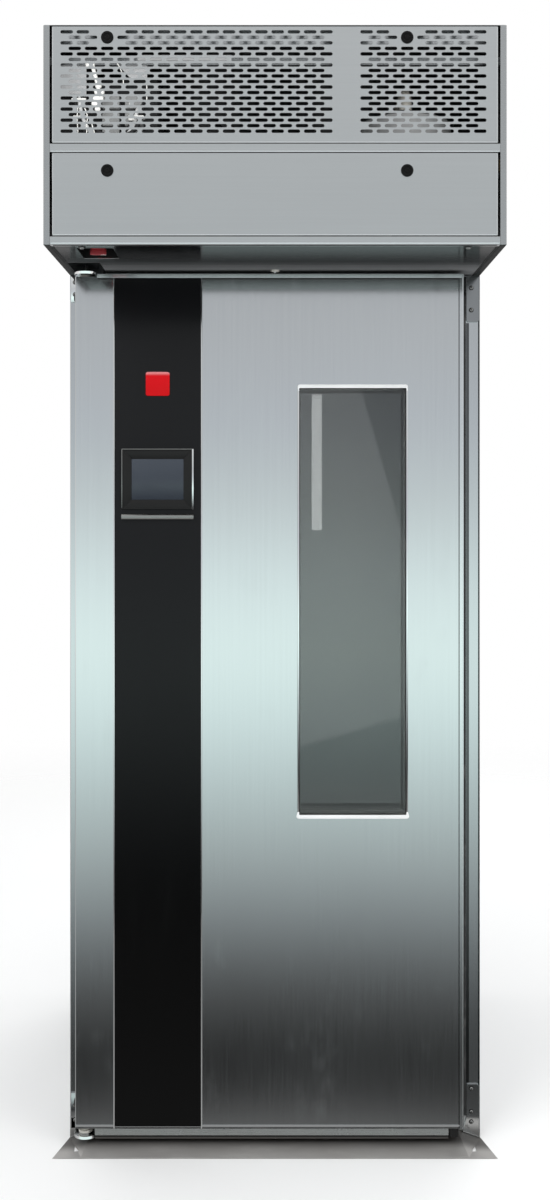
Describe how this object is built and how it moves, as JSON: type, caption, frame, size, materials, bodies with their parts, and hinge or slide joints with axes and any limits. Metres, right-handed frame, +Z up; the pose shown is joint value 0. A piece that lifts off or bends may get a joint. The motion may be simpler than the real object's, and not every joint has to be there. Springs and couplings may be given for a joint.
{
  "type": "roll-in proofer",
  "caption": "Tall floor-standing stainless proofing cabinet with a full-height insulated door, control strip, narrow window, perforated machine canopy and low entry ramp.",
  "frame": {"origin": "on the floor, under the middle of the whole machine's box", "axes": "+X to the right of someone facing the door, +Y back, +Z up"},
  "size_m": [1.052, 1.48, 2.576],
  "materials": {
    "stainless": "brushed stainless steel",
    "dark_steel": "heat-darkened steel rod",
    "foam": "foam board, stands in for rigid foam",
    "bumper_plastic": "matt white bumper plastic",
    "lamp_lens": "frosted lens",
    "grey_plastic": "matt grey plastic",
    "chrome": "bright plated",
    "grey_enamel": "powder coat",
    "cable_black": "cable sheath",
    "cast_aluminium": "cast",
    "brass": "satin",
    "hose_rubber": "silicone hose",
    "seal_rubber": "matt black rubber",
    "black_plastic": "matt black plastic",
    "fascia_black": "gloss black",
    "badge_red": "gloss red",
    "screen_trim": "satin anodised",
    "screen": "dark screen",
    "glass": "clear",
    "sweep_aluminium": "extruded",
    "fastener_black": "black oxide",
    "knob_red": "moulded red"
  },
  "bodies": {
    "cabinet": {"back_wall": "stainless", "bracket_screws": "stainless", "canopy_back": "stainless", "canopy_base_plate": "stainless", "canopy_bottom_rail": "stainless", "canopy_left_side": "stainless", "canopy_mid_rail": "stainless", "canopy_right_side": "stainless", "canopy_roof": "stainless", "catch_body": "chrome", "ceiling": "stainless", "climate_probe": "grey_plastic", "control_box": "grey_enamel", "entry_ramp": "stainless", "equipment_rail": "stainless", "fan_motor": "cast_aluminium", "fan_plenum": "stainless", "floor_pan": "stainless", "heater_elements": "dark_steel", "hinge_brackets": "stainless", "hinge_pins": "stainless", "interior_lamp": "lamp_lens", "jamb_plates": "stainless", "left_air_duct": "stainless", "left_wall": "stainless", "main_switch_box": "grey_plastic", "rack_bumpers": "bumper_plastic", "right_air_duct": "stainless", "right_wall": "stainless", "service_fittings": "stainless", "steam_generator": "stainless", "steam_pipe": "hose_rubber", "wall_insulation": "foam", "water_valve": "brass", "wiring_harness": "cable_black"},
    "door": {"door_skin": "stainless", "door_liner": "stainless", "door_insulation": "foam", "pivot_bushes": "stainless", "door_gasket": "seal_rubber", "edge_plugs": "black_plastic", "control_fascia": "fascia_black", "badge_plate": "badge_red", "screen_frame": "screen_trim", "screen_bezel": "black_plastic", "touch_screen": "screen", "window_frame": "stainless", "window_inner_frame": "stainless", "window_panes": "glass", "sweep_carrier": "sweep_aluminium", "sweep_lip": "seal_rubber"},
    "catch_plunger": {"catch_plunger": "chrome"},
    "upper_access_panel": {"upper_access_panel": "stainless"},
    "lower_access_panel": {"lower_access_panel": "stainless"},
    "upper_left_fastener": {"upper_left_fastener": "fastener_black"},
    "upper_right_fastener": {"upper_right_fastener": "fastener_black"},
    "lower_left_fastener": {"lower_left_fastener": "fastener_black"},
    "lower_right_fastener": {"lower_right_fastener": "fastener_black"},
    "main_switch_knob": {"main_switch_knob": "knob_red"},
    "fan_wheel": {"fan_wheel": "cast_aluminium"}
  },
  "joints": [
    {"name": "door_hinge", "type": "hinge", "parent": "cabinet", "child": "door", "pos_m": [-0.456, -0.377, 1], "axis": [0, 0, -1], "range_deg": [0, 120]},
    {"name": "catch_travel", "type": "slide", "parent": "cabinet", "child": "catch_plunger", "axis": [0, 0, 1], "range_m": [0, 0.003], "stiffness_N_per_m": 2000, "springref_m": -0.001},
    {"name": "main_switch_turn", "type": "hinge", "parent": "cabinet", "child": "main_switch_knob", "pos_m": [-0.395, -0.626, 2.11], "axis": [0, 0, -1], "range_deg": [0, 90]},
    {"name": "fan_spin", "type": "hinge", "parent": "cabinet", "child": "fan_wheel", "pos_m": [0, 0.18, 2.2], "axis": [0, 0, 1], "continuous": true},
    {"name": "upper_panel_lift_off", "type": "slide", "parent": "cabinet", "child": "upper_access_panel", "axis": [0, -1, 0], "range_m": [0, 0.12]},
    {"name": "lower_panel_lift_off", "type": "slide", "parent": "cabinet", "child": "lower_access_panel", "axis": [0, -1, 0], "range_m": [0, 0.12]},
    {"name": "upper_left_fastener_turn", "type": "hinge", "parent": "upper_access_panel", "child": "upper_left_fastener", "pos_m": [-0.3617, -0.737, 2.5491], "axis": [0, 1, 0], "range_deg": [0, 90]},
    {"name": "upper_right_fastener_turn", "type": "hinge", "parent": "upper_access_panel", "child": "upper_right_fastener", "pos_m": [0.285, -0.737, 2.5491], "axis": [0, 1, 0], "range_deg": [0, 90]},
    {"name": "lower_left_fastener_turn", "type": "hinge", "parent": "lower_access_panel", "child": "lower_left_fastener", "pos_m": [-0.3617, -0.737, 2.262], "axis": [0, 1, 0], "range_deg": [0, 90]},
    {"name": "lower_right_fastener_turn", "type": "hinge", "parent": "lower_access_panel", "child": "lower_right_fastener", "pos_m": [0.285, -0.737, 2.262], "axis": [0, 1, 0], "range_deg": [0, 90]}
  ]
}
